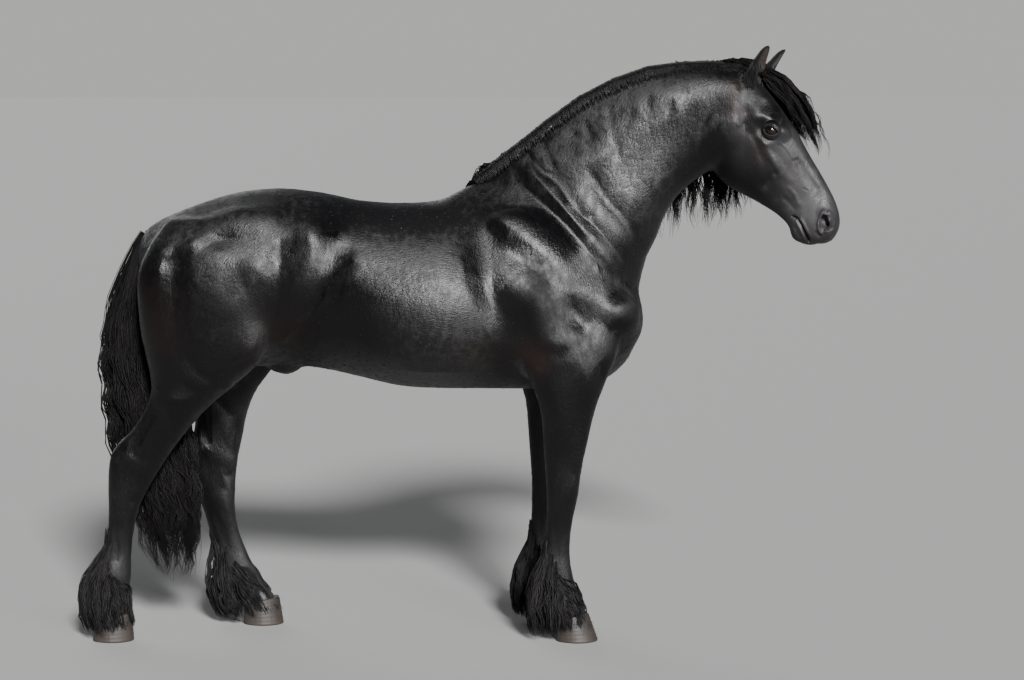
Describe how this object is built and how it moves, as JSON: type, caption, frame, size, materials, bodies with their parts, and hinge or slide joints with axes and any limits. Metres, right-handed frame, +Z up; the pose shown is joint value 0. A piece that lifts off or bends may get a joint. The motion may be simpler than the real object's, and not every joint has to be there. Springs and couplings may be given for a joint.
{
  "type": "horse",
  "caption": "Standing black feathered stallion in life size, head raised and turned slightly to its right, one hind leg forward; a still, museum-like model.",
  "frame": {"origin": "on the ground at the middle of the length and the width of the whole animal, hair included", "axes": "+X towards the head, +Z up, the animal's right side at -Y"},
  "size_m": [2.6496, 0.6229, 2.0585],
  "materials": {
    "coat": "short glossy black coat over muscle",
    "hair": "long wavy black hair, slightly glossy",
    "ear": "short black hair, brownish skin inside",
    "eye": "wet, dark brown, nearly black",
    "hoof": "dull brown-grey horn, dusty"
  },
  "bodies": {
    "root": {"head": "coat", "neck": "coat", "trunk": "coat", "right_forearm": "coat", "right_fore_cannon": "coat", "right_thigh": "coat", "right_hind_cannon": "coat", "left_forearm": "coat", "left_fore_cannon": "coat", "left_thigh": "coat", "left_hind_cannon": "coat", "mane": "hair", "forelock": "hair", "tail": "hair", "right_fore_feather": "hair", "right_hind_feather": "hair", "left_fore_feather": "hair", "left_hind_feather": "hair", "right_ear": "ear", "left_ear": "ear", "right_eye": "eye", "left_eye": "eye", "right_fore_hoof": "hoof", "right_hind_hoof": "hoof", "left_fore_hoof": "hoof", "left_hind_hoof": "hoof"}
  },
  "joints": []
}
